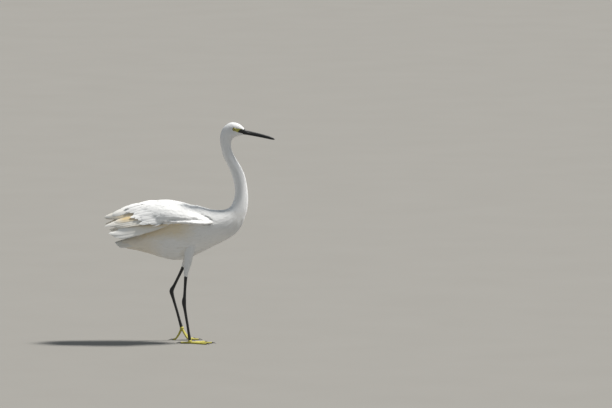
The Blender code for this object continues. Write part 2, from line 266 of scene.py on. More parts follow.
def plumage(name, white, shade, barb_mm, streak, warm=(0.76, 0.60, 0.32)):
    """White feathers: greyer at random, and greyest at the root, which is painted shade where they lie under
    others, with fine barbs that slant off the shaft.

    The attribute warm says where they have the ochre tint of light that came through them.
    """
    recipe = Recipe(name, Sheen_Weight=0.15, Sheen_Roughness=0.45, Specular_IOR_Level=0.25)
    along, across, chance = recipe.parts(recipe.lay())
    x, y, z = recipe.parts(recipe.place())
    soft = recipe.noise(recipe.vector(along * 0.05, across * 1.6, chance * 60.0), streak, 3.0)
    cloud = recipe.noise(recipe.vector(x * 0.02, y * 0.02, z * 0.02), 1.0, 2.0)
    # The shade colour comes in at random in streaks and clouds, and fully over each feather's first 7 mm,
    # which is painted shade where roots lie under the feathers above.
    share = (soft.ramp(0.3, 0.75) * 0.4 + chance * 0.3 + cloud * 0.4) * along.ramp(0.0, 7.0)
    tint = recipe.mix(share, shade, white)
    glow = recipe.node("Attribute", {"attribute_name": "warm"}, output=2)
    recipe.colour(recipe.mix(glow * (0.75 + 0.4 * soft), tint, warm))
    recipe.roughness(0.62 + 0.2 * soft)
    barbs = ((along + across.absolute() * -1.3) * (2 * math.pi / barb_mm)).sine()
    recipe.bump(barbs * 0.07 + soft, 0.00022, 0.5)
    return recipe.material


def mottled_material(name, roughness, grain, dark, pale, relief):
    """Soft spots of two colours. grain is the noise's scale and detail, and relief the bump's depth."""
    recipe = Recipe(name, Roughness=roughness)
    spots = recipe.noise(recipe.place(), *grain)
    recipe.colour(recipe.mix(spots.ramp(0.35, 0.7), dark, pale))
    recipe.bump(spots, relief, 0.6)
    return recipe.material


def face_material():
    """Bare skin before the eye: yellow-green by the eye, black at the gape, white down elsewhere."""
    recipe = Recipe("face_skin", Specular_IOR_Level=0.4)
    x, y, z = recipe.parts(recipe.place())
    pores = recipe.noise(recipe.place(), 1.1, 4.0, 0.6)
    folds = recipe.noise(recipe.vector(x * 0.25, y * 0.5, z * 1.1), 1.0, 3.0)
    bare = recipe.mix(pores.ramp(0.3, 0.7), (0.34, 0.33, 0.06), (0.52, 0.50, 0.12))
    fall = recipe.node("Math", {"operation": "EXPONENT"}, (x - 126.5) * (-1.0 / 7.0))
    above = z - (560.4 - 9.0 * fall) + folds * 2.0 - 1.0
    black = above.ramp(0.9, -0.9) * x.ramp(125.6, 127.2)
    black = recipe.node("Math", {"operation": "MAXIMUM"}, black, x.ramp(136.0, 141.0))
    naked = recipe.node("Attribute", {"attribute_name": "bare"}, output=2).ramp(0.3, 0.6)
    skin_colour = recipe.mix(black, bare, (0.018, 0.018, 0.016))
    recipe.colour(recipe.mix(naked, (0.80, 0.79, 0.77), skin_colour))
    recipe.roughness(0.5 + 0.2 * pores)
    recipe.bump(pores * 0.5 + folds, 0.0005, 0.7)
    return recipe.material


def horn_material(name, base, pale, roughness):
    recipe = Recipe(name, Coat_Weight=0.08, Coat_Roughness=0.3, Specular_IOR_Level=0.35)
    x, y, z = recipe.parts(recipe.place())
    grain = recipe.noise(recipe.vector(x * 0.12, y * 1.5, (z + x * 0.2) * 1.5), 1.0, 4.0, 0.6)
    recipe.colour(recipe.mix(grain.ramp(0.45, 0.8), base, pale))
    recipe.roughness(roughness + 0.2 * grain)
    recipe.bump(grain, 0.0002, 0.5)
    return recipe.material


def scale_material(name, base, worn, dust, cell_mm):
    """Leg or toe skin in small plates, paler on their worn middles, with dry dust between."""
    recipe = Recipe(name, Specular_IOR_Level=0.45)
    place = recipe.place()
    cells = recipe.node("TexVoronoi", {"feature": "DISTANCE_TO_EDGE"}, Vector=place, Scale=1.0 / cell_mm)
    wear = recipe.noise(place, 0.35, 4.0, 0.6)
    plate = cells.ramp(0.02, 0.14)
    worn_share = plate * wear.ramp(0.45, 0.8)
    recipe.colour(recipe.mix(plate, dust, recipe.mix(worn_share, base, worn)))
    recipe.roughness(0.62 - 0.18 * plate + 0.1 * wear)
    recipe.bump(plate + wear * 0.3, 0.00025, 0.5)
    return recipe.material


def eye_material():
    """Pale yellow iris round a black pupil, under a wet surface."""
    recipe = Recipe("eye", Roughness=0.12, Coat_Weight=1.0, Coat_Roughness=0.03)
    x, y, z = recipe.parts(recipe.place())
    ex, ey, ez = EYE_PLACE
    off_x = x - ex - (y.absolute() - ey) * EYE_LOOK[0]
    off_z = z - ez - (y.absolute() - ey) * EYE_LOOK[1]
    out = (off_x**2.0 + off_z**2.0) ** 0.5
    rays = recipe.noise(recipe.vector(off_x * 1.2, off_z * 1.2, out * 0.2), 1.5, 4.0, 0.6)
    iris = recipe.mix(rays.ramp(0.3, 0.7), (0.50, 0.42, 0.05), (0.78, 0.68, 0.16))
    rim = recipe.mix(out.ramp(3.0, 3.7), iris, (0.05, 0.045, 0.01))
    recipe.colour(recipe.mix(out.ramp(2.15, 1.95), rim, (0.004, 0.004, 0.004)))
    return recipe.material


EYE_PLACE = (117.1, 9.4, 557.4)
EYE_RADIUS = 5.0
EYE_LOOK = (0.16, 0.02)
LID_RADIUS = 4.25
LID_THICK = 0.75

COVERT_WHITE = plumage("plumage_coverts", (0.88, 0.875, 0.86), (0.76, 0.755, 0.74), 0.9, 0.8)
BODY_WHITE = plumage("plumage_body", (0.87, 0.865, 0.85), (0.74, 0.735, 0.72), 0.8, 1.0)
SILK_WHITE = plumage("plumage_silk", (0.87, 0.87, 0.865), (0.74, 0.74, 0.74), 0.6, 1.2)
LONG_WHITE = plumage(
    "plumage_long", (0.90, 0.89, 0.86), (0.84, 0.825, 0.78), 1.1, 0.5, (0.68, 0.53, 0.29)
)
DOWN = mottled_material("down", 0.85, (0.5, 4.0), (0.70, 0.68, 0.64), (0.82, 0.81, 0.78), 0.0006)
FACE = face_material()
BILL_HORN = horn_material("bill_horn", (0.008, 0.008, 0.008), (0.03, 0.029, 0.027), 0.34)
CLAW_HORN = horn_material("claw_horn", (0.015, 0.014, 0.013), (0.08, 0.07, 0.06), 0.35)
LEG_SKIN = scale_material("leg_skin", (0.012, 0.012, 0.013), (0.045, 0.045, 0.045), (0.03, 0.028, 0.024), 1.7)
TOE_SKIN = scale_material("toe_skin", (0.50, 0.45, 0.07), (0.62, 0.57, 0.14), (0.46, 0.41, 0.08), 1.2)
EYE_LOOKS = eye_material()
LID_SKIN = mottled_material("lid_skin", 0.5, (1.6, 3.0), (0.02, 0.02, 0.014), (0.09, 0.085, 0.03), 0.0003)


def copied(names):
    """One bmesh of copies of CAD nodes, with their loose triangles merged."""
    shape = bmesh.new()
    for name in names:
        shape.from_mesh(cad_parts[name].data)
    bmesh.ops.remove_doubles(shape, verts=shape.verts, dist=1e-6)
    return shape


def remeshed(shape, voxel_mm, passes):
    """The union of closed shapes as one smooth skin of small even faces."""
    holder = finished("form", shape, body=None)
    remesh = holder.modifiers.new("remesh", "REMESH")
    remesh.mode = "VOXEL"
    remesh.voxel_size = voxel_mm * MM
    smooth = holder.modifiers.new("smooth", "SMOOTH")
    smooth.factor, smooth.iterations = 0.5, passes
    graph = bpy.context.evaluated_depsgraph_get()
    mesh = bpy.data.meshes.new_from_object(holder.evaluated_get(graph))
    whole = bmesh.new()
    whole.from_mesh(mesh)
    bpy.data.meshes.remove(mesh)
    bpy.data.objects.remove(holder, do_unlink=True)
    return whole


def coordinates(elements):
    return np.array([element.co for element in elements])


def in_chunks(function, points, size=4000):
    return np.concatenate([function(points[i : i + size]) for i in range(0, len(points), size)])


class Lie:
    """Which way the coat lies at a place and how big its feathers are, from lines along both its edges."""

    def __init__(self, first, last, sizes_first, sizes_last):
        shares = np.linspace(0, 1, 7)[None, :, None]
        lines = last[:, None] + (first - last)[:, None] * shares
        heading = -np.gradient(lines, axis=0)
        sizes = sizes_last[:, None] + (sizes_first - sizes_last)[:, None] * shares
        self.places = lines.reshape(-1, 2)
        self.headings = unit(heading).reshape(-1, 2)
        self.sizes = sizes.reshape(-1, sizes.shape[-1])

    def nearest(self, points):
        flat = points[:, [0, 2]]
        gaps = (flat**2).sum(1)[:, None] - 2 * flat @ self.places.T + (self.places**2).sum(1)[None]
        return gaps.argmin(1)

    def look_up(self, points):
        found = in_chunks(self.nearest, points)
        heading = np.zeros((len(points), 3))
        heading[:, [0, 2]] = self.headings[found]
        return heading, self.sizes[found]


body_rows = dense(LIE, 4)
BODY_FIELD = Lie(body_rows[:, 0:2], body_rows[:, 2:4], body_rows[:, 4:7], body_rows[:, [7, 8, 6]])
arm_rows = dense(ARM_LIE, 6)[::-1]
ARM_FIELD = Lie(arm_rows[:, [0, 1]], arm_rows[:, [0, 2]], arm_rows[:, 3:6], arm_rows[:, 3:6])
ARM_BEND = np.array((66.0, 0.0, 319.0))

BODY_ZONE, ARM_ZONE, THIGH_ZONE = range(3)
ZONE_NODES = (FLESH[:6], ARMS, FLESH[6:])
ZONE_TREES = [BVHTree.FromBMesh(copied(nodes)) for nodes in ZONE_NODES]


def zone_of(points_mm):
    """The number of the zone whose solids lie nearest to each point."""
    zones = np.zeros(len(points_mm), int)
    for index, point in enumerate(points_mm * MM):
        gaps = [tree.find_nearest(point)[3] for tree in ZONE_TREES]
        zones[index] = int(np.argmin(gaps))
    return zones


def arm_bottom(x):
    """Height of the folded arm's lower edge."""
    return np.interp(x, arm_rows[:, 0], arm_rows[:, 2])


def lie_at(points, zones):
    """Heading, and length, half width and depth of the feathers, for points in millimetres."""
    heading, sizes = BODY_FIELD.look_up(points)
    arm = zones == ARM_ZONE
    if arm.any():
        heading[arm], sizes[arm] = ARM_FIELD.look_up(points[arm])
        away = points[arm] - ARM_BEND * (1, 0, 1)
        away[:, 1] = np.sign(points[arm, 1]) * (np.abs(points[arm, 1]) - 44.0)
        x, _, z = points[arm].T
        heading[arm] = unit(heading[arm] + unit(away) * between(x, 15.0, 65.0)[:, None])
        edge = bump_at(z, arm_bottom(x) + 2.0, 8.0) * between(x, -90.0, -50.0)
        sizes[arm, :2] *= 1 - 0.5 * edge[:, None]
    off_eye = np.linalg.norm(np.abs(points) - EYE_PLACE, axis=1)
    near = np.clip(0.45 + (off_eye - 5.5) / 16.0, 0.45, 1.0)
    sizes[:, 0] *= near
    sizes[:, 1] *= np.sqrt(near)
    for side_name, side in SIDES.items():
        leg = (zones == THIGH_ZONE) & (np.sign(points[:, 1]) == side)
        top, end = np.array(THIGHS[side_name])
        heading[leg] = unit(end - top)
        sizes[leg] = THIGH_FEATHER
    return heading, sizes


def ahead_of_end(points):
    """Millimetres ahead of the slanting plane where the folded arm ends."""
    return (points[:, 0] + 61.0) * 0.603 + (points[:, 2] - 308.5) * 0.798


# What belongs to the face lies above this height.
HEAD_BOTTOM = 535
# A point of the line between the halves of the bill, and its slope.
GAPE = (138.0, 548.0, -0.217)


def seam_at(x):
    """Height of the line between the halves of the bill."""
    return GAPE[1] + (x - GAPE[0]) * GAPE[2]


def sculpt_form(points, zones):
    """Shapes that the solids are too plain for: the hand's band on the wing, a slim face and a slim rear."""
    x, y, z = points.T
    bottom = arm_bottom(x)
    run = between(x, 58.0, 44.0) * between(x, -74.0, -52.0)
    band = bump_at(z, bottom + 5.0, 5.0) * run
    groove = bump_at(z, bottom + 13.0, 2.4) * run
    hollow = bump_at(x, 14.0, 9.0) * bump_at(z, bottom + 15.5, 3.4)
    dimple = bump_at(x, -42.0, 18.0) * bump_at(z, bottom + 14.0, 4.0)
    scale = 1 + 0.06 * band - 0.03 * groove - 0.06 * hollow - 0.035 * dimple
    arm = (zones == ARM_ZONE) & (np.abs(y) > 24)
    points[arm, 1] *= scale[arm] * (1 - 0.14 * between(x[arm], 15, 55))
    face = (x > 133) & (z > HEAD_BOTTOM)
    share = between(x[face], 133, 146) ** 1.3
    seam = seam_at(x[face])
    points[face, 1] *= 1 - 0.27 * share
    points[face, 2] = seam + (z[face] - seam) * (1 - 0.18 * share)
    rear = (zones == BODY_ZONE) & (x < -132)
    points[rear, 1] *= 1 - 0.38 * between(x[rear], -132, -162)
    return points


FORM_VOXEL_MM = 1.7
FORM_PASSES = 6
# The form ends inside the bill, by a cut that only takes what lies above the neck, and its face is finer.
BILL_CUT = Vector((148.5, 0, 0)) * MM
CUT_BOTTOM, CUT_FACES_BOTTOM = 0.5, 0.502
FINE_X, FINE_Z = 0.110, 0.538


def in_fine_part(vertex):
    return vertex.co.x > FINE_X and vertex.co.z > FINE_Z


def make_form():
    """The outline of the coat as one closed shape of small faces, which are smaller round the face."""
    names = FLESH + ARMS + ("eye_right", "eye_left", "bill_upper", "bill_lower")
    whole = remeshed(copied(names), FORM_VOXEL_MM, FORM_PASSES)
    geometry = [vertex for vertex in whole.verts if vertex.co.z > CUT_BOTTOM]
    geometry += [edge for edge in whole.edges if all(end.co.z > CUT_BOTTOM for end in edge.verts)]
    geometry += [face for face in whole.faces if face.calc_center_median().z > CUT_FACES_BOTTOM]
    bmesh.ops.bisect_plane(whole, geom=geometry, plane_co=BILL_CUT, plane_no=(1, 0, 0), clear_outer=True)
    bmesh.ops.holes_fill(whole, edges=[edge for edge in whole.edges if edge.is_boundary], sides=0)
    fine_edges = [edge for edge in whole.edges if all(map(in_fine_part, edge.verts))]
    bmesh.ops.subdivide_edges(whole, edges=fine_edges, cuts=1, use_grid_fill=True)
    front = list(filter(in_fine_part, whole.verts))
    bmesh.ops.smooth_vert(whole, verts=front, factor=0.5, use_axis_x=True, use_axis_y=True, use_axis_z=True)
    bmesh.ops.triangulate(whole, faces=[face for face in whole.faces if len(face.verts) > 4])
    whole.normal_update()
    return whole


form = make_form()
form_points = coordinates(form.verts) / MM
form_zones = zone_of(form_points)
form_points = sculpt_form(form_points, form_zones)
for vertex, point in zip(form.verts, form_points * MM):
    vertex.co = point
form.normal_update()
form_normals = np.array([vertex.normal for vertex in form.verts])
FORM_TREE = BVHTree.FromBMesh(form)
FORM_FACES = len(form.faces)


def wrapped(columns, rows, place):
    """A closed tube: place turns shares round and along, each from 0 to 1, into points in millimetres."""
    shape = bmesh.new()
    bmesh.ops.create_grid(shape, x_segments=columns, y_segments=rows, size=0.5)
    flat = coordinates(shape.verts) + 0.5
    for vertex, point in zip(shape.verts, place(flat[:, 0], flat[:, 1]) * MM):
        vertex.co = point
    bmesh.ops.remove_doubles(shape, verts=shape.verts, dist=1e-7)
    rim = [edge for edge in shape.edges if edge.is_boundary]
    bmesh.ops.holes_fill(shape, edges=rim, sides=0)
    bmesh.ops.recalc_face_normals(shape, faces=shape.faces)
    if shape.calc_volume(signed=True) < 0:
        bmesh.ops.reverse_faces(shape, faces=shape.faces)
    return shape


def joined(shapes):
    """One bmesh of several, which are freed."""
    whole = bmesh.new()
    for shape in shapes:
        mesh = bpy.data.meshes.new("part")
        shape.to_mesh(mesh)
        shape.free()
        whole.from_mesh(mesh)
        bpy.data.meshes.remove(mesh)
    return whole


def along_path(rows):
    """A function from shares along a path to places, headings and the rows' other numbers."""
    table = np.array(rows, float)
    steps = np.linalg.norm(np.diff(table[:, :3], axis=0), axis=1)
    lengths = np.concatenate(([0], np.cumsum(steps)))
    total = lengths[-1]

    def at(share):
        distance = share * total
        found = np.stack([np.interp(distance, lengths, column) for column in table.T], axis=1)
        ahead = np.stack([np.interp(distance + 0.6, lengths, column) for column in table.T[:3]], axis=1)
        behind = np.stack([np.interp(distance - 0.6, lengths, column) for column in table.T[:3]], axis=1)
        return found[:, :3], unit(ahead - behind), found[:, 3:], distance

    at.total = total
    return at


def limb(rows, side_axis, columns, pitch, relief):
    """A tube along a path, with overlapping plates on the side that side_axis x heading points to.

    Each row is a place, a half width that way, and one along side_axis.
    """
    path = along_path(dense(rows, 4))
    count = max(6, int(path.total / (pitch / 4.0)))

    def place(round_, along):
        centre, heading, widths, distance = path(along)
        over = unit(np.cross(np.broadcast_to(side_axis, heading.shape), heading))
        across = np.cross(heading, over)
        angle = 2 * np.pi * round_
        edge = over * (np.cos(angle) * widths[:, 0])[:, None]
        edge = edge + across * (np.sin(angle) * widths[:, 1])[:, None]
        plate = (distance / pitch) % 1.0
        step = relief * (0.5 - plate) * np.clip(np.cos(angle) * 1.6 - 0.2, 0, 1)
        spots = centre + edge + unit(edge) * step[:, None]
        closing = np.clip(np.minimum(along, 1 - along) * count, 0, 1) ** 0.5
        spots = centre + (spots - centre) * closing[:, None]
        spots[:, 2] = np.maximum(spots[:, 2], 0.0)
        return spots

    return wrapped(columns, count, place)


# Bare legs from inside the feathers to the toes' joint: place, half depth and half width.
LEGS = {
    "right": (
        (-8.0, -32.6, 190.0, 5.0, 4.6), (-9.6, -33.6, 172.0, 4.3, 4.2), (-10.4, -34.0, 160.0, 3.8, 3.5),
        (-11.6, -34.3, 142.0, 3.5, 3.2), (-12.6, -34.6, 124.0, 3.9, 3.6), (-13.8, -34.8, 114.0, 5.2, 4.6),
        (-14.1, -35.0, 106.5, 5.5, 4.8), (-13.2, -35.2, 98.5, 4.7, 4.0), (-11.6, -35.3, 88.0, 3.8, 3.2),
        (-8.4, -35.7, 68.0, 3.4, 2.9), (-5.0, -36.1, 48.0, 3.3, 2.8), (-2.0, -36.5, 28.0, 3.4, 2.9),
        (0.4, -36.9, 12.0, 4.0, 3.5), (1.1, -37.0, 5.0, 4.0, 3.5),
    ),
    "left": (
        (-14.6, 32.4, 200.0, 4.6, 4.4), (-18.6, 33.0, 189.5, 4.2, 4.0), (-23.4, 33.4, 179.0, 3.8, 3.5),
        (-32.0, 34.0, 161.5, 3.5, 3.2), (-40.5, 34.6, 144.0, 3.9, 3.6), (-45.2, 34.8, 135.8, 5.1, 4.5),
        (-47.6, 35.0, 128.6, 5.5, 4.8), (-46.2, 35.2, 120.5, 4.7, 4.0), (-43.2, 35.4, 110.0, 3.8, 3.2),
        (-38.4, 36.1, 93.0, 3.4, 2.9), (-33.4, 36.8, 76.0, 3.3, 2.8), (-27.6, 37.8, 54.0, 3.4, 2.9),
        (-22.9, 38.7, 37.0, 4.0, 3.5), (-21.2, 39.0, 31.0, 4.0, 3.5),
    ),
}
# These repeat the solids' feet: the joint of the toes, and each toe's length, base and tip radius, claw
# length and number of joints.
TOE_JOINT = {"right": (1.1, -37.0, 5.0), "left": (-21.2, 39.0, 31.0)}
TOES = {
    "inner": (46.0, 3.0, 2.2, 9.0, 2),
    "middle": (58.0, 3.1, 2.3, 10.0, 3),
    "outer": (50.0, 3.0, 2.2, 9.0, 4),
    "hind": (25.0, 3.0, 2.3, 12.0, 1),
}
HEADINGS = {
    "right": {"inner": 33.0, "middle": 1.0, "outer": -29.0, "hind": 171.0},
    "left": {"inner": 33.0, "middle": 1.0, "outer": -35.5, "hind": 171.0},
}
TOE_REST_Z = 2.1
STEEP_RUN, HIND_STEEP_RUN = 25.0, 19.0


def toe_line(side_name, toe):
    """Points along a toe and along its claw, each with half widths, as the solids have them."""
    length, base, tip, claw, joints = TOES[toe]
    side = SIDES[side_name]
    turn = math.radians(HEADINGS[side_name][toe])
    ahead = np.array((math.cos(turn), -side * math.sin(turn), 0))
    joint = np.array(TOE_JOINT[side_name])
    drop = joint[2] - TOE_REST_Z
    raised = drop > 10
    steep = (HIND_STEEP_RUN if toe == "hind" else STEEP_RUN) if raised else base
    run = length - (math.hypot(drop, steep) - steep if raised else 0)
    run = max(run, steep + 2 * tip)

    def at(distance):
        share = min(distance / steep, 1.0)
        spot = joint + ahead * distance
        spot[2] = TOE_REST_Z + drop * (1 - share) ** (1.5 if raised else 1.0)
        return spot

    toe_rows = []
    for share in np.linspace(0, 1, 4 * joints + 9):
        radius = base + (tip - base) * share
        knob = 0.5 + 0.5 * math.cos(2 * math.pi * share * joints)
        radius *= 0.9 + 0.17 * knob
        radius *= 1 - 0.5 * max(0.0, (share - 0.93) / 0.07) ** 2
        toe_rows.append((*at(run * share), radius * 0.95, radius))
    claw_rows = []
    for share in np.linspace(0, 1, 8):
        spot = at(run - 1.2 + (claw + 1.5) * share)
        spot[2] += 0.9 * math.sin(math.pi * min(share * 1.25, 1)) - 1.3 * share**1.6
        radius = tip * (1 - share) ** 0.8 * 0.74 + 0.28
        claw_rows.append((*spot, radius, radius * 0.72))
    return toe_rows, claw_rows


def pad_ball(side_name):
    """The ball of the foot, flat where it meets the floor."""
    joint = np.array(TOE_JOINT[side_name])

    def place(round_, along):
        turn, rise = 2 * np.pi * round_, np.pi * (along - 0.5)
        out = np.stack(
            (np.cos(turn) * np.cos(rise) * 5.4, np.sin(turn) * np.cos(rise) * 5.2, np.sin(rise) * 5.6), axis=1
        )
        spots = joint + out
        spots[:, 2] = np.maximum(spots[:, 2], 0.0)
        return spots

    return wrapped(24, 14, place)


def with_slot(shape, slot):
    for face in shape.faces:
        face.material_index = slot
        face.smooth = True
    return shape


def lid(side):
    """A fleshy ring round the eye, drawn out to a point before and behind it."""
    ex, ey, ez = EYE_PLACE
    look = unit(np.array((EYE_LOOK[0], 1.0, EYE_LOOK[1])) * (1, side, 1))
    ahead = unit(np.cross(look, (0, 0, 1.0))) * side
    up = unit(np.cross(ahead, look)) * side
    centre = np.array((ex, ey * side, ez))

    def place(round_, along):
        turn, lap = 2 * np.pi * round_, 2 * np.pi * along
        corner = np.abs(np.cos(turn)) ** 6
        reach = LID_RADIUS + 0.7 * corner - 0.25 * np.abs(np.sin(turn))
        rim = reach + np.cos(lap) * LID_THICK * 0.9
        rise = math.sqrt(EYE_RADIUS**2 - LID_RADIUS**2) + 0.05 + np.sin(lap) * LID_THICK - corner * 0.5
        crease = 0.08 * np.sin(turn * 22) * np.clip(np.sin(lap), 0, 1)
        flat = ahead * (np.cos(turn) * rim)[:, None] + up * (np.sin(turn) * rim)[:, None]
        return centre + flat + look * (rise + crease)[:, None]

    return wrapped(56, 12, place)


SKIN_LOOKS = (DOWN, FACE, LEG_SKIN, TOE_SKIN, LID_SKIN)
DOWN_SLOT, FACE_SLOT, LEG_SLOT, TOE_SLOT, LID_SLOT = range(5)
SUNK_SHARE = 0.4
BARE_DEPTH = 0.6


def make_skin():
    """One skin for the whole bird, with bare lores, lids, legs and toes. Its first faces are the form's."""
    body = form.copy()
    _, sizes = lie_at(form_points, form_zones)
    x, _, z = form_points.T
    bare = bare_share(form_points)
    depth = sizes[:, 2] * SUNK_SHARE * (1 - bare) + bare * BARE_DEPTH
    bill_end = between(x, 141.0, 148.0) * (z > HEAD_BOTTOM)
    depth = depth + 1.8 * bill_end**1.5 + 3.2 * between(x, -168.0, -190.0)
    sunk = form_points - form_normals * depth[:, None]
    for vertex, point in zip(body.verts, sunk * MM):
        vertex.co = point
    with_slot(body, DOWN_SLOT)
    for face in body.faces:
        middle = face.calc_center_median() / MM
        if middle.x > 104 and middle.z > 536:
            face.material_index = FACE_SLOT
    shapes = [body]
    for side_name, side in SIDES.items():
        shapes.append(with_slot(lid(side), LID_SLOT))
        shapes.append(with_slot(limb(LEGS[side_name], SIDEWAYS, 26, 3.0, 0.32), LEG_SLOT))
        shapes.append(with_slot(pad_ball(side_name), TOE_SLOT))
        for toe in TOES:
            toe_rows, _ = toe_line(side_name, toe)
            shapes.append(with_slot(limb(toe_rows, UPWARD, 18, 2.1, 0.3), TOE_SLOT))
    piece = finished("skin", joined(shapes), *SKIN_LOOKS)
    marks = {"warm": warm_at(form_points, form_zones), "bare": np.maximum(bare, x > 142.0)}
    for name, values in marks.items():
        padded = np.zeros(len(piece.data.vertices))
        padded[: len(values)] = values
        piece.data.attributes.new(name, "FLOAT", "POINT").data.foreach_set("value", padded)
    return piece


def warm_at(points, zones):
    """How much ochre light there is on the flank below the wing and under the tail, from 0 to 1."""
    x, y, z = points.T
    flank = between(np.abs(y), 14.0, 26.0) * between(z, 268.0, 294.0) * between(x, 34.0, -16.0) * (z < 322)
    under = 0.3 * between(x, -50.0, -90.0) * (z < 300)
    return np.maximum(flank * 0.6, under) * (zones == BODY_ZONE)


# Outline of the bare lores in side view, x and z, from above the eye round the bill's base.
LORES = (
    (116.5, 562.8), (124.7, 560.6), (135.5, 558.6), (146.0, 557.4), (152.0, 550.0),
    (150.0, 543.0), (142.0, 543.8), (135.5, 545.4), (127.5, 548.6), (116.5, 551.5),
)


def bare_share(points):
    """1 well inside the lores and round the eye, 0 outside, for points in millimetres."""
    outline = np.array(LORES)
    spots = points[:, [0, 2]]
    gap = np.full(len(points), 1e9)
    for start, end in zip(outline, np.roll(outline, -1, axis=0)):
        edge = end - start
        inward = np.array((edge[1], -edge[0])) / np.hypot(*edge)
        gap = np.minimum(gap, (spots - start) @ inward)
    near_eye = 5.2 - np.hypot(spots[:, 0] - EYE_PLACE[0], spots[:, 1] - EYE_PLACE[2])
    gap = np.maximum(gap, near_eye)
    return np.clip(gap / 1.2 + 0.5, 0, 1) * (np.abs(points[:, 1]) > 2.6) * (points[:, 2] > HEAD_BOTTOM)


skin = make_skin()


def unwrap(piece):
    """A UV map named OFBake on the piece's own shape."""
    bpy.context.view_layer.objects.active = piece
    piece.select_set(True)
    bpy.ops.object.mode_set(mode="EDIT")
    bpy.ops.mesh.select_all(action="SELECT")
    bpy.ops.uv.smart_project(angle_limit=math.radians(66), island_margin=0.002)
    bpy.ops.object.mode_set(mode="OBJECT")
    piece.select_set(False)
    piece.data.uv_layers[0].name = "OFBake"


unwrap(skin)


def form_triangles():
    """Corner points, zones and the skin's UVs of the form's triangles."""
    corners, spots = [], []
    layer = skin.data.uv_layers["OFBake"].data
    flat = np.empty(len(layer) * 2)
    layer.foreach_get("uv", flat)
    flat = flat.reshape(-1, 2)
    for face in skin.data.polygons[:FORM_FACES]:
        loops = face.loop_indices
        for second in range(1, len(loops) - 1):
            trio = (loops[0], loops[second], loops[second + 1])
            corners.append([skin.data.loops[loop].vertex_index for loop in trio])
            spots.append(trio)
    corners, spots = np.array(corners), np.array(spots)
    return form_points[corners], form_zones[corners[:, 0]], flat[spots]


TRIANGLES, TRIANGLE_ZONES, TRIANGLE_UVS = form_triangles()
PATCH = 0.003
# Area of a feather as a share of its length times its half width, trial places for each root, and how much
# of a root's share of the surface stays free of others.
FEATHER_AREA = 1.25
TRIES = 5
ROOM = 0.66


def spread(closeness):
    """Roots spread evenly over the form. closeness is the feathers' layers at any place."""
    edges = TRIANGLES[:, 1:] - TRIANGLES[:, :1]
    cross = np.cross(edges[:, 0], edges[:, 1])
    areas = np.linalg.norm(cross, axis=1) / 2
    middles = TRIANGLES.mean(axis=1)
    _, sizes = lie_at(middles, TRIANGLE_ZONES)
    crowd = closeness / (sizes[:, 0] * sizes[:, 1] * FEATHER_AREA)
    weights = np.cumsum(areas * crowd)
    tries = int(weights[-1] * TRIES)
    picks = np.searchsorted(weights, CHANCE.random(tries) * weights[-1])
    shares = CHANCE.random((tries, 2))
    over = shares.sum(axis=1) > 1
    shares[over] = 1 - shares[over]
    corner_shares = np.column_stack((1 - shares.sum(axis=1), shares))[:, :, None]
    places = (TRIANGLES[picks] * corner_shares).sum(axis=1)
    uvs = (TRIANGLE_UVS[picks] * corner_shares).sum(axis=1)
    room = np.sqrt(ROOM / crowd[picks])
    tree = KDTree(tries)
    for index, place in enumerate(places):
        tree.insert(place, index)
    tree.balance()
    free = np.ones(tries, bool)
    kept = []
    for index in range(tries):
        if free[index]:
            kept.append(index)
            for _, other, _ in tree.find_range(places[index], room[index]):
                free[other] = False
    kept = np.array(kept)
    return places[kept], uvs[kept], TRIANGLE_ZONES[picks[kept]], unit(cross)[picks[kept]]


# In metres, how near a long feather has to be for a covert to lie on it.
BLADE_REACH = 0.022


def over_blades(aim, out, stride):
    """A place just over the long feathers near aim, and its outward way."""
    spot, normal, _, gap = BLADE_TREE.find_nearest(aim * MM)
    if gap > BLADE_REACH:
        return aim - out * stride * 0.10, out
    normal = np.array(normal)
    if normal @ out < 0:
        normal = -normal
    out = out + normal * 0.8
    out = out / np.linalg.norm(out)
    rest = np.array(spot) / MM + out * 1.5
    return aim * 0.35 + rest * 0.65, out


def traced(roots, normals, zones, lengths, swing, steps):
    """Lines over the form that follow the lie of the coat: places, normals and headings of each step.

    At the rear edge of the folded arm a line leaves the form and goes on over the long feathers.
    """
    count = len(roots)
    places = np.empty((count, steps + 1, 3))
    outs = np.empty_like(places)
    headings = np.empty_like(places)
    places[:, 0], outs[:, 0] = roots, normals
    turn = swing[:, None]
    for step in range(steps + 1):
        way, _ = lie_at(places[:, step], zones)
        way -= outs[:, step] * (way * outs[:, step]).sum(axis=1, keepdims=True)
        way = unit(way)
        way = unit(way * np.cos(turn) + np.cross(outs[:, step], way) * np.sin(turn))
        headings[:, step] = way
        if step == steps:
            break
        stride = lengths[:, None] / steps
        aims = places[:, step] + way * stride
        for index, aim in enumerate(aims):
            spot, out, _, _ = FORM_TREE.find_nearest(aim * MM)
            places[index, step + 1] = spot
            outs[index, step + 1] = out
        places[:, step + 1] /= MM
        turned = (outs[:, step + 1] * outs[:, step]).sum(axis=1) < 0.72
        off = (zones == ARM_ZONE) & (turned | (ahead_of_end(aims) < 0.5)) & (roots[:, 0] < -20)
        for index in np.flatnonzero(off):
            places[index, step + 1], outs[index, step + 1] = over_blades(
                aims[index], outs[index, step], stride[index, 0]
            )
    blended = outs.copy()
    blended[:, 1:-1] = outs[:, :-2] + outs[:, 1:-1] * 2 + outs[:, 2:]
    return places, unit(blended), headings


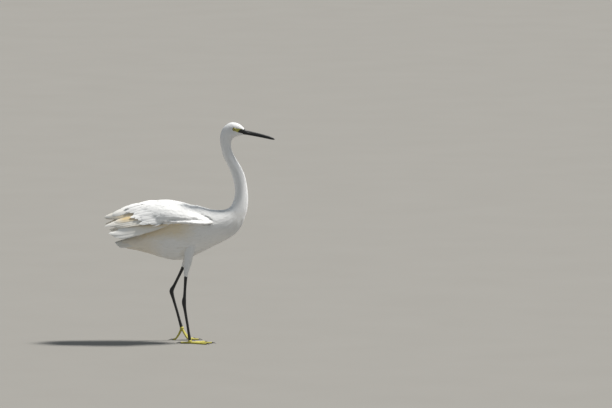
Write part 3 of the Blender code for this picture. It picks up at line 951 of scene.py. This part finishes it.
def vane_faces(rows, across, pointed):
    """Triangles of one closed vane: a root point, rings round it, and a tip point or a thin end."""
    ring = 2 * across - 2
    order = np.arange(ring)
    after = np.roll(order, -1)
    faces = [np.column_stack((np.zeros(ring, int), 1 + after, 1 + order))]
    rings = rows - 2 if pointed else rows - 1
    for row in range(rings - 1):
        low, high = 1 + row * ring, 1 + (row + 1) * ring
        faces.append(np.column_stack((low + order, low + after, high + after)))
        faces.append(np.column_stack((low + order, high + after, high + order)))
    last = 1 + (rings - 1) * ring
    if pointed:
        faces.append(np.column_stack((np.full(ring, last + ring), last + order, last + after)))
    else:
        for column in range(across - 1):
            above, beside = last + column, last + column + 1
            below = last + ring - column
            below_beside = below - 1
            if column == 0:
                faces.append(np.array([(above, beside, below_beside)]))
            elif column == across - 2:
                faces.append(np.array([(above, beside, below)]))
            else:
                faces.append(np.array([(above, beside, below_beside), (above, below_beside, below)]))
    return np.concatenate(faces)


def vanes(lines, half_widths, outline, columns, thick, camber, pointed=True, ridge=0.0, fray=None):
    """Corner points and lay coordinates of many vanes, and the triangles of one.

    lines are places, normals and headings at each row from root to tip. outline gives the width at each
    row, columns the places across from -1 to 1, and fray moves the last row's columns along the vane.
    """
    places, outs, headings = lines
    count, rows = places.shape[:2]
    columns = np.array(columns)
    sides = unit(np.cross(outs, headings))
    strides = np.linalg.norm(np.diff(places, axis=1), axis=2)
    travelled = np.concatenate((np.zeros((count, 1)), np.cumsum(strides, axis=1)), axis=1)
    across = np.concatenate((columns, columns[-2:0:-1]))
    under = np.concatenate((np.zeros(len(columns)), np.ones(len(columns) - 2)))
    ring_rows = range(1, rows - 1) if pointed else range(1, rows)
    points = [places[:, :1] - outs[:, :1] * 0.01]
    lay = [np.stack((travelled[:, 0], np.zeros(count)), axis=1)[:, None]]
    for row in ring_rows:
        width = half_widths * outline[row]
        reach = across[None] * width[:, None]
        crown = camber * (1 - across[None] ** 2) * width[:, None]
        taper = 1 - 0.75 * row / (rows - 1)
        height = crown + (1 - np.abs(across[None])) * thick * taper * (1 - 2 * under[None])
        height = height + ridge * taper * (np.abs(across[None]) < 0.02) * (1 - under[None])
        ring = places[:, row, None] + sides[:, row, None] * reach[..., None]
        ring = ring + outs[:, row, None] * height[..., None]
        forward = np.zeros_like(reach)
        if fray is not None and row >= rows - 2:
            forward = fray * (1.0 if row == rows - 1 else 0.35)
            ring = ring + headings[:, row, None] * forward[..., None]
        points.append(ring)
        lay.append(np.stack((travelled[:, row, None] + forward, reach), axis=2))
    if pointed:
        points.append(places[:, -1:])
        lay.append(np.stack((travelled[:, -1], np.zeros(count)), axis=1)[:, None])
    faces = vane_faces(rows, len(columns), pointed)
    return np.concatenate(points, axis=1), np.concatenate(lay, axis=1), faces


class Coat:
    """Gathers vanes and makes one piece of them."""

    def __init__(self):
        self.points, self.faces, self.lays, self.uvs, self.warm, self.total = [], [], [], [], [], 0

    def add(self, points, lay, faces, uvs, warm):
        count, corners = points.shape[:2]
        chance = np.broadcast_to(CHANCE.random((count, 1, 1)), (count, corners, 1))
        starts = self.total + np.arange(count)[:, None, None] * corners
        made = np.repeat(faces[None], count, axis=0)
        spots = points - points[:, :1]
        first, second, third = (spots[:, column] for column in faces.T)
        inverted = (first * np.cross(second, third)).sum(axis=(1, 2)) < 0
        made[inverted] = made[inverted][:, :, ::-1]
        self.points.append(points.reshape(-1, 3))
        self.lays.append(np.concatenate((lay, chance), axis=2).reshape(-1, 3))
        self.uvs.append(uvs.reshape(-1, 2))
        self.warm.append(np.broadcast_to(warm, (count, corners)).ravel())
        self.faces.append((made + starts).reshape(-1, 3))
        self.total += count * corners

    def piece(self, name, material):
        points = np.concatenate(self.points) * MM
        faces = np.concatenate(self.faces)
        mesh = bpy.data.meshes.new(name)
        mesh.vertices.add(len(points))
        mesh.vertices.foreach_set("co", points.ravel())
        mesh.loops.add(faces.size)
        mesh.loops.foreach_set("vertex_index", faces.ravel())
        mesh.polygons.add(len(faces))
        mesh.polygons.foreach_set("loop_start", np.arange(0, faces.size, 3))
        mesh.polygons.foreach_set("loop_total", np.full(len(faces), 3))
        mesh.update(calc_edges=True)
        lay = mesh.attributes.new("lay", "FLOAT_VECTOR", "POINT")
        lay.data.foreach_set("vector", np.concatenate(self.lays).ravel())
        warm = mesh.attributes.new("warm", "FLOAT", "POINT")
        warm.data.foreach_set("value", np.concatenate(self.warm))
        layer = mesh.uv_layers.new(name="OFBake")
        layer.data.foreach_set("uv", np.concatenate(self.uvs)[faces.ravel()].ravel())
        print(name, len(faces), "triangles")
        return placed(name, mesh, material)


def patches(uvs, lay, lengths, half_widths):
    """UVs of many vanes, each a small patch at its root's place on the skin's own unwrap."""
    along = lay[..., 0] / lengths[:, None] - 0.5
    across = lay[..., 1] / half_widths[:, None] * 0.5
    return uvs[:, None] + np.stack((along, across), axis=2) * PATCH


# Long feathers of the right wing by group, as the solids have them: x, y, z, half height and lean in degrees.
GROUPS = {
    "tertials": (
        (-70.0, -20.2, 357.0, 21.0, 56.0), (-102.6, -20.2, 354.0, 22.0, 52.0),
        (-139.0, -16.4, 345.2, 18.6, 47.0), (-180.6, -11.4, 334.8, 14.0, 38.0),
        (-206.6, -6.6, 328.6, 7.4, 30.0), (-221.4, -4.0, 326.6, 2.0, 25.0),
    ),
    "secondaries": (
        (-60.0, -45.5, 330.0, 11.6, 34.0), (-90.0, -42.5, 327.5, 13.2, 40.0),
        (-128.6, -37.5, 322.8, 12.8, 42.0), (-167.6, -31.5, 316.4, 10.6, 40.0),
        (-201.4, -26.0, 309.8, 7.0, 35.0), (-220.5, -23.5, 304.6, 2.0, 32.0),
    ),
    "primaries": (
        (-52.0, -52.0, 313.0, 3.4, 12.0), (-70.0, -51.0, 310.6, 6.2, 18.0),
        (-97.4, -49.5, 305.6, 10.0, 28.0), (-133.8, -46.0, 297.2, 12.4, 32.0),
        (-170.2, -41.0, 289.6, 13.0, 32.0), (-196.2, -37.0, 287.4, 11.4, 30.0),
        (-210.5, -35.0, 287.6, 6.8, 28.0),
    ),
}
# Each feather of a group: its place across from -1 at the bottom, how far its tip reaches, its half width
# and the share of ochre light in it.
BLADES = {
    "tertials": (
        (1.0, 0.74, 10.0, 0.0), (0.72, 0.88, 10.0, 0.1), (0.38, 1.0, 9.0, 0.35),
        (0.0, 0.965, 8.5, 1.0), (-0.4, 0.90, 8.0, 1.3), (-0.8, 0.82, 7.5, 1.3),
    ),
    "secondaries": (
        (0.85, 0.84, 7.5, 1.3), (0.5, 0.92, 6.5, 0.5), (0.12, 1.0, 6.5, 0.3),
        (-0.28, 0.955, 6.0, 0.45), (-0.62, 0.90, 6.0, 0.3), (-0.95, 0.83, 5.5, 0.6),
    ),
    "primaries": (
        (0.85, 0.86, 7.0, 1.2), (0.48, 0.94, 6.5, 0.7), (0.1, 1.0, 6.5, 0.5),
        (-0.28, 0.97, 6.0, 0.4), (-0.62, 0.92, 6.0, 0.45), (-0.95, 0.85, 5.5, 0.6),
    ),
}
# Where along a feather the ochre light has become full, where it begins to fade and where it has gone.
LONG_GLOW = (0.3, 0.8, 1.04)
GLOW = {"tertials": LONG_GLOW, "secondaries": LONG_GLOW, "primaries": (0.02, 0.35, 0.8)}
BLADE_ROWS = 26
BLADE_COLUMNS = (-1, -0.6, -0.25, -0.08, 0, 0.08, 0.25, 0.6, 1)
# A long feather's cell of the UV map, which has five by five of them, with a margin round what is used.
CELLS = 5
CELL_MARGIN, CELL_SPAN = 0.008, 0.184


def blade_outline(rows, root, tip_start):
    """Width shares from a narrow root, over a long even vane, to a rounded tip."""
    share = np.linspace(0, 1, rows)
    grown = root + (1 - root) * between(share, 0, 0.3) ** 0.7
    end = between(share, tip_start, 1)
    return grown * np.sqrt(np.clip(1 - end**2.0, 0, 1))


def blade(coat, number, centre, heading, up, out, half_width, camber, warm, glow_run):
    """One long feather along these places. up lies in its vane, out is its upper side, number its UV cell."""
    rows = len(centre)
    up = unit(up - heading * (up * heading).sum(axis=1, keepdims=True))
    out = unit(np.cross(heading, up)) * np.sign((np.cross(heading, up) * out).sum(axis=1, keepdims=True))
    splits = 1 - 0.05 * (CHANCE.random(rows) < 0.12) * (np.linspace(0, 1, rows) > 0.35)
    outline = blade_outline(rows, 0.35, 0.76) * splits
    widths = np.array([half_width * CHANCE.uniform(0.93, 1.07)])
    lines = centre[None], out[None], heading[None]
    points, lay, faces = vanes(lines, widths, outline, BLADE_COLUMNS, 0.25, camber, ridge=0.35)
    span = lay[..., 0].max()
    uvs = np.stack((lay[..., 0] / span, lay[..., 1] / widths[0] * 0.5 + 0.5), axis=2)
    along, across = uvs[..., 0], uvs[..., 1] * 2 - 1
    upward = np.sign((np.cross(out[0], heading[0]) * up[0]).sum())
    inner = np.clip(0.8 + 0.3 * across * upward, 0, 1)
    rise, fall, end = glow_run
    glow = 0.85 * warm * inner * between(along, 0, rise) * between(along, end, fall)
    cell = np.array((number % CELLS / CELLS, number // CELLS / CELLS))
    coat.add(points, lay, faces, cell + CELL_MARGIN + uvs * CELL_SPAN, glow)


def long_feathers(side_name):
    """The flight feathers of one folded wing, fanned like a hand of cards in three groups."""
    side = SIDES[side_name]
    coat = Coat()
    number = 0
    for group, table in GROUPS.items():
        path = along_path(dense(table, 6))
        for order, (across, reach, half_width, warm) in enumerate(BLADES[group]):
            share = np.linspace(0, 1, BLADE_ROWS)
            centre, heading, numbers, _ = path(share * reach)
            high, lean = numbers[:, 0], np.radians(numbers[:, 1])
            centre = centre * (1, -side, 1)
            heading = heading * (1, -side, 1)
            up = np.stack((np.zeros(BLADE_ROWS), -side * np.sin(lean), np.cos(lean)), axis=1)
            out = np.stack((np.zeros(BLADE_ROWS), side * np.cos(lean), np.sin(lean)), axis=1)
            room = np.maximum(high - half_width * 0.62, 0)
            sag = CHANCE.normal(0, 0.9) * share**2 + across * 2.6 * share**3
            layer = 0.7 * (2.5 - order) + CHANCE.normal(0, 0.5) * share**3
            places = centre + up * (across * room + sag)[:, None] + out * layer[:, None]
            camber = 0.16 if group == "tertials" else 0.11
            if side == LEFT and group == "tertials":
                places[:, 2] -= 3.6 * share
            blade(coat, number, places, heading, up, out, half_width, camber, warm, GLOW[group])
            number += 1
    piece = coat.piece("flight_feathers_" + side_name, LONG_WHITE)
    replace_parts(piece, *(f"wing_{side_name}_{group}" for group in GROUPS))
    return piece


def blade_tree(pieces):
    corners, faces, total = [], [], 0
    for piece in pieces:
        mesh = piece.data
        corners += [vertex.co.copy() for vertex in mesh.vertices]
        faces += [[index + total for index in face.vertices] for face in mesh.polygons]
        total += len(mesh.vertices)
    return BVHTree.FromPolygons(corners, faces)


# Tail feathers of one side from the middle outwards: y and z near the root, y and z at the tip, and its x.
RECTRICES = (
    (1.5, 287.0, 0.6, 260.4, -195.0),
    (5.0, 285.0, 3.4, 259.6, -194.0),
    (8.5, 281.5, 6.2, 258.2, -192.4),
    (11.5, 277.0, 8.8, 256.4, -190.2),
    (14.0, 271.5, 11.0, 254.4, -187.4),
    (15.8, 265.5, 12.8, 252.2, -184.0),
)


def tail_feathers():
    """Twelve feathers in a roof, the middle ones on top, with their roots under the rump's plumes."""
    coat = Coat()
    share = np.linspace(0, 1, BLADE_ROWS)[:, None]
    for number, (root_y, root_z, tip_y, tip_z, tip_x) in enumerate(RECTRICES):
        for side_number, side in enumerate(SIDES.values()):
            root = np.array((-122.0, side * root_y, root_z))
            tip = np.array((tip_x, side * tip_y, tip_z))
            centre = root + (tip - root) * share - np.array((0, 0, 2.2)) * np.sin(np.pi * share)
            heading = unit(np.gradient(centre, axis=0))
            lean = math.radians(14 + 9 * number)
            up = np.tile((0, -side * math.cos(lean), math.sin(lean)), (BLADE_ROWS, 1))
            out = np.tile((0, side * math.sin(lean), math.cos(lean)), (BLADE_ROWS, 1))
            centre = centre - out * (0.55 * number + 0.2 * side_number)
            blade(coat, number * 2 + side_number, centre, heading, up, out, 5.6, 0.10, 0.12, LONG_GLOW)
    coat.piece("tail_feathers", LONG_WHITE)


BLADE_TREE = blade_tree([long_feathers(name) for name in SIDES])
tail_feathers()


STRAND = dict(outline=(0, 1.0, 0.78, 0), columns=(-1, 0, 1), thick=0.06, camber=0.28)
LANCE = dict(outline=(0, 0.8, 1.0, 0.7, 0), columns=(-1, 0, 1), thick=0.08, camber=0.2)
VANE = dict(
    outline=(0, 0.7, 0.95, 1.0, 0.62), columns=(-1, -0.5, 0, 0.5, 1), thick=0.10, camber=0.10, pointed=False
)
PLUME = dict(
    outline=(0, 0.6, 0.9, 1.0, 0.95, 0.8, 0.4),
    columns=(-1, -0.5, 0, 0.5, 1),
    thick=0.12,
    camber=0.14,
    pointed=False,
)


def cover(roots, uvs, zones, normals, kind, swing, size=None, above=0.0, field=None):
    """Vanes of one kind at these roots, which rise from the skin to their tips on the coat's outline.

    size replaces the length, half width and depth of the place, above raises the tips by some millimetres,
    and field replaces the zone whose lie they follow.
    """
    _, sizes = lie_at(roots, zones)
    if size is not None:
        sizes = np.broadcast_to(np.array(size, float), sizes.shape).copy()
    count = len(roots)
    steps = len(kind["outline"]) - 1
    lengths = sizes[:, 0] * CHANCE.uniform(0.82, 1.18, count)
    half_widths = sizes[:, 1] * CHANCE.uniform(0.85, 1.15, count)
    turn = CHANCE.normal(0, swing, count)
    tracks = zones if field is None else np.full(count, field)
    places, outs, headings = traced(roots, normals, tracks, lengths, turn, steps)
    share = np.linspace(0, 1, steps + 1)[None]
    depth = (sizes[:, 2] * 1.02)[:, None] * (1 - share) ** 1.5
    rise = (above + CHANCE.normal(0, 0.07, (count, 1)) * sizes[:, 2:3]) * share**2
    places = places + outs * (rise - depth)[..., None]
    fray = None
    if not kind.get("pointed", True):
        columns = np.array(kind["columns"])
        width, ring = len(columns), 2 * len(columns) - 2
        fray = CHANCE.uniform(-0.075, 0.04, (count, ring))
        fray -= np.concatenate((columns, columns[-2:0:-1])) ** 2 * 0.09
        fray[:, width:] = fray[:, width - 2 : 0 : -1]
        fray = fray * np.minimum(lengths, 30.0)[:, None]
    points, lay, faces = vanes((places, outs, headings), half_widths, fray=fray, **kind)
    warm = warm_at(places[:, 1], zones)[:, None]
    return points, lay, faces, patches(uvs, lay, lengths, half_widths), warm


def usable(roots, zones):
    """Where feathers may grow: not on bare skin, nor round the bill, nor where long feathers cover all."""
    bare = bare_share(roots) > 0.35
    x, _, z = roots.T
    bill = (z > HEAD_BOTTOM) & ((x > 143.0) | ((x > 140.5) & (z < 547)))
    rump = (zones == BODY_ZONE) & (((x < -150) & (z > 250)) | (x < -174))
    end = (zones == ARM_ZONE) & (ahead_of_end(roots) < 2.5)
    return ~(bare | bill | rump | end)


LAYERS = 7.5
roots, root_uvs, root_zones, root_normals = spread(LAYERS)
free = usable(roots, root_zones)
print("roots", len(roots), "usable", int(free.sum()))
x, y, z = roots.T
body = root_zones == BODY_ZONE
REGIONS = {
    "coat_head": (body & (z > 531), STRAND, SILK_WHITE, 0.09),
    "coat_neck": (body & (z <= 531) & (z > 352) & (x > 60), STRAND, SILK_WHITE, 0.06),
    "coat_breast": (body & (x > 40) & (z <= 352), LANCE, BODY_WHITE, 0.09),
    "coat_trunk": (body & (x <= 40), VANE, BODY_WHITE, 0.10),
    "coat_arm_right": ((root_zones == ARM_ZONE) & (y < 0), VANE, COVERT_WHITE, 0.05),
    "coat_arm_left": ((root_zones == ARM_ZONE) & (y >= 0), VANE, COVERT_WHITE, 0.05),
    "coat_thighs": (root_zones == THIGH_ZONE, LANCE, BODY_WHITE, 0.09),
}


def grow(name, chosen, kind, material, swing, **more):
    """One piece of coat from the roots that are chosen."""
    chosen = chosen & free
    coat = Coat()
    here = roots[chosen], root_uvs[chosen], root_zones[chosen], root_normals[chosen]
    coat.add(*cover(*here, kind, swing, **more))
    return coat.piece(name, material)


for name, region in REGIONS.items():
    piece = grow(name, *region)
    if name in ("coat_arm_right", "coat_arm_left"):
        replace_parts(piece, name.replace("coat_arm", "wing") + "_coverts")

# Long soft plumes over the shoulders and the rump, greater coverts over the long feathers' roots, and a few
# loose strands on the breast.
luck = CHANCE.random(len(roots))
high = root_normals[:, 2]
shoulder = (x < 24) & (x > -92) & (np.abs(y) < 33) & (high > 0.55) & (z > 345)
grow(
    "plumes_shoulder",
    shoulder & (luck < 0.14),
    PLUME,
    COVERT_WHITE,
    0.05,
    size=(58.0, 4.6, 2.4),
    above=0.5,
    field=ARM_ZONE,
)
behind = (root_zones == ARM_ZONE) & (ahead_of_end(roots) > 3) & (ahead_of_end(roots) < 24) & (x < -30)
grow("coverts_greater", behind & (luck < 0.5), PLUME, COVERT_WHITE, 0.04, size=(50.0, 6.4, 0.9), above=0.9)
rump = body & (x < -84) & (x > -128) & (high > 0.45)
grow("plumes_rump", rump & (luck < 0.5), PLUME, COVERT_WHITE, 0.09, size=(46.0, 3.4, 2.4), above=1.0)
breast = body & (x > 104) & (z < 352) & (z > 285)
grow("plumes_breast", breast & (luck < 0.06), LANCE, SILK_WHITE, 0.10, size=(34.0, 1.1, 2.0), above=1.4)

# Stations of the closed bill: x, the height of its middle, half height and half width.
BILL = (
    (129.0, 550.1, 5.2, 5.4), (138.0, 549.4, 6.3, 5.7), (145.0, 548.2, 6.1, 5.3), (152.0, 546.9, 5.75, 4.9),
    (163.0, 544.6, 5.4, 4.4), (174.0, 542.3, 5.15, 4.05), (186.0, 539.7, 4.85, 3.7),
    (197.0, 537.0, 4.5, 3.35), (205.0, 535.0, 4.1, 2.95),
    (210.5, 533.5, 3.75, 2.6), (215.0, 532.1, 3.2, 2.15), (218.5, 531.0, 2.4, 1.6),
    (221.6, 530.0, 0.8, 0.6),
)
BILL_ROWS, BILL_COLUMNS = 150, 48
# Shares of the way round a half of the bill that are its outer side and its side at the gape.
OUTER, INNER = 0.72, 0.28


def mandible(name, upper):
    """Half of the bill. The upper one has a ridge, and a groove with a slit nostril on each side."""
    path = dense(BILL, 4)

    def place(round_, along):
        x = path[0, 0] + (path[-1, 0] - path[0, 0]) * along
        middle, high, wide = (np.interp(x, path[:, 0], column) for column in path[:, 1:].T)
        seam = seam_at(x) + 0.07 * np.sin((x - 138) / 9)
        sign = 1 if upper else -1
        rise = np.maximum((middle + sign * high - seam) * sign - 0.1, 0.12)
        if upper:
            rise = rise + 2.2 * bump_at(x, 140, 7)
        top = round_ < OUTER
        turn = np.where(top, round_ / OUTER, (1 - round_) / INNER) * np.pi
        bulge = np.sin(turn)
        side = np.cos(turn)
        height = np.where(top, np.abs(bulge) ** (0.9 if upper else 0.8), 0.10 * np.abs(bulge))
        width = np.sign(side) * np.abs(side) ** (1.0 if upper else 0.8)
        shelf = 0.06 * np.exp(-((height - 0.05) ** 2) / 0.003)
        y = width * wide * (1 + shelf * top)
        z = seam + sign * (0.1 + height * rise)
        if upper:
            level = (z - seam) / np.maximum(rise, 0.3)
            fade = between(x, 138, 146) * between(x, 190, 156)
            groove = bump_at(level, 0.56, 0.12) * fade * 0.55
            slit = bump_at(level, 0.56, 0.07) * np.exp(-(((x - 155.5) / 4.2) ** 4)) * 0.9
            y = y - np.sign(y) * (groove + slit) * top
        return np.stack((x, y, z), axis=1)

    piece = finished(name, wrapped(BILL_COLUMNS, BILL_ROWS, place), BILL_HORN)
    return piece


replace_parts(mandible("mandible_upper", True), "bill_upper")
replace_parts(mandible("mandible_lower", False), "bill_lower")


def eyeball(side_name):
    side = SIDES[side_name]
    shape = bmesh.new()
    bmesh.ops.create_uvsphere(shape, u_segments=48, v_segments=28, radius=EYE_RADIUS * MM)
    place = Vector((EYE_PLACE[0], EYE_PLACE[1] * side, EYE_PLACE[2])) * MM
    bmesh.ops.rotate(shape, verts=shape.verts, matrix=Matrix.Rotation(math.radians(90), 3, "X"))
    bmesh.ops.translate(shape, verts=shape.verts, vec=place)
    piece = finished("eyeball_" + side_name, shape, EYE_LOOKS)
    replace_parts(piece, "eye_" + side_name)


def claws(side_name):
    shapes = []
    for toe in TOES:
        _, claw_rows = toe_line(side_name, toe)
        shapes.append(limb(claw_rows, UPWARD, 14, 1.2, 0.0))
    piece = finished("claws_" + side_name, joined(shapes), CLAW_HORN)
    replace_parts(piece, *(f"claw_{side_name}_{toe}" for toe in TOES))


for name in SIDES:
    eyeball(name)
    claws(name)

legs = [f"{part}_{side_name}" for part in ("shank", "tarsus", "foot") for side_name in SIDES]
legs += [f"toe_{side_name}_{toe}" for side_name in SIDES for toe in TOES]
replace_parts(skin, *FLESH, *legs)


def floor_and_light():
    """A plain pale floor, a large soft light from high on the right, and an even cool sky."""
    shape = bmesh.new()
    bmesh.ops.create_grid(shape, x_segments=1, y_segments=1, size=60.0)
    recipe = Recipe("floor", Roughness=0.9, Specular_IOR_Level=0.2)
    tone = recipe.noise(recipe.place(), 0.004, 3.0)
    recipe.colour(recipe.mix(tone, (0.23, 0.221, 0.202), (0.246, 0.237, 0.218)))
    floor = finished("floor", shape, recipe.material, body=None)
    sun = bpy.data.lights.new("key", "SUN")
    sun.energy = 5.4
    sun.angle = math.radians(8)
    sun.color = (1.0, 0.975, 0.94)
    lamp = bpy.data.objects.new("key", sun)
    lamp.rotation_mode = "QUATERNION"
    lamp.rotation_quaternion = Vector((0.50, 0.09, 0.86)).to_track_quat("Z", "Y")
    bpy.context.scene.collection.objects.link(lamp)
    world = bpy.data.worlds.new("sky")
    world.use_nodes = True
    world.node_tree.nodes["Background"].inputs["Color"].default_value = (0.82, 0.91, 1.0, 1.0)
    world.node_tree.nodes["Background"].inputs["Strength"].default_value = 0.37
    bpy.context.scene.world = world
    bpy.context.scene.view_settings.view_transform = "Standard"


def camera():
    """The photograph's view: along +Y from far off, 6 degrees down, with the bird left of the middle."""
    aim = Vector((303.0, 0.0, 361.0)) * MM
    distance = 20.0
    seen_width = 1.5912
    sensor_mm = 36.0
    tilt = math.radians(6.0)
    data = bpy.data.cameras.new("camera")
    data.sensor_width = sensor_mm
    data.lens = sensor_mm * distance / seen_width
    data.clip_end = 200.0
    made = bpy.data.objects.new("camera", data)
    back = Vector((0, -math.cos(tilt), math.sin(tilt)))
    made.location = aim + back * distance
    made.rotation_mode = "QUATERNION"
    made.rotation_quaternion = back.to_track_quat("Z", "Y")
    bpy.context.scene.collection.objects.link(made)
    bpy.context.scene.camera = made


floor_and_light()
camera()
form.free()
